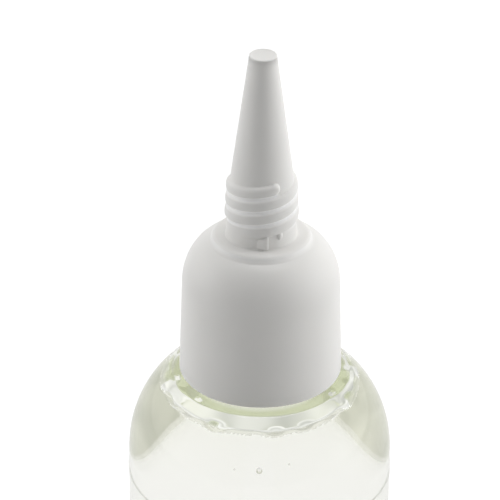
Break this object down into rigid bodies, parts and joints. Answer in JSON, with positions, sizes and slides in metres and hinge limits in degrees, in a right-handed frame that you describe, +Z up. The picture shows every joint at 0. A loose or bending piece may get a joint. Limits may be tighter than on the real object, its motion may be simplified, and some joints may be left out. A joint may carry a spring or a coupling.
{
  "type": "glue applicator bottle",
  "caption": "Clear round bottle of clear glue with a domed white screw closure, a threaded spout foot and a long tapered closed tip.",
  "frame": {"origin": "centre of the bottle's underside, on the table", "axes": "+Z up along the bottle's axis to the tip, -Y the front, +X to the right seen from the front"},
  "size_m": [0.0454, 0.0454, 0.1371],
  "materials": {
    "clear_plastic": "clear glossy blow-moulded plastic",
    "clear_glue": "clear liquid, faint warm tint",
    "clear_film": "clear glossy film",
    "foam": "matte closed-cell foam",
    "white_plastic": "satin injection-moulded plastic"
  },
  "bodies": {
    "bottle_body": {"bottle": "clear_plastic", "glue": "clear_glue", "label": "clear_film"},
    "seal_body": {"seal_liner": "foam"},
    "closure_body": {"nozzle_closure": "white_plastic"}
  },
  "joints": [
    {"name": "seal_lift", "type": "slide", "parent": "bottle_body", "child": "seal_body", "axis": [0, 0, 1], "range_m": [0, 0.00477]},
    {"name": "closure_turn", "type": "hinge", "parent": "seal_body", "child": "closure_body", "pos_m": [0, 0, 0.078], "axis": [0, 0, 1], "range_deg": [0, 540]}
  ],
  "couplings": [
    {"joint": "seal_lift", "follows": "closure_turn", "m_per_rad": 0.00050532}
  ]
}
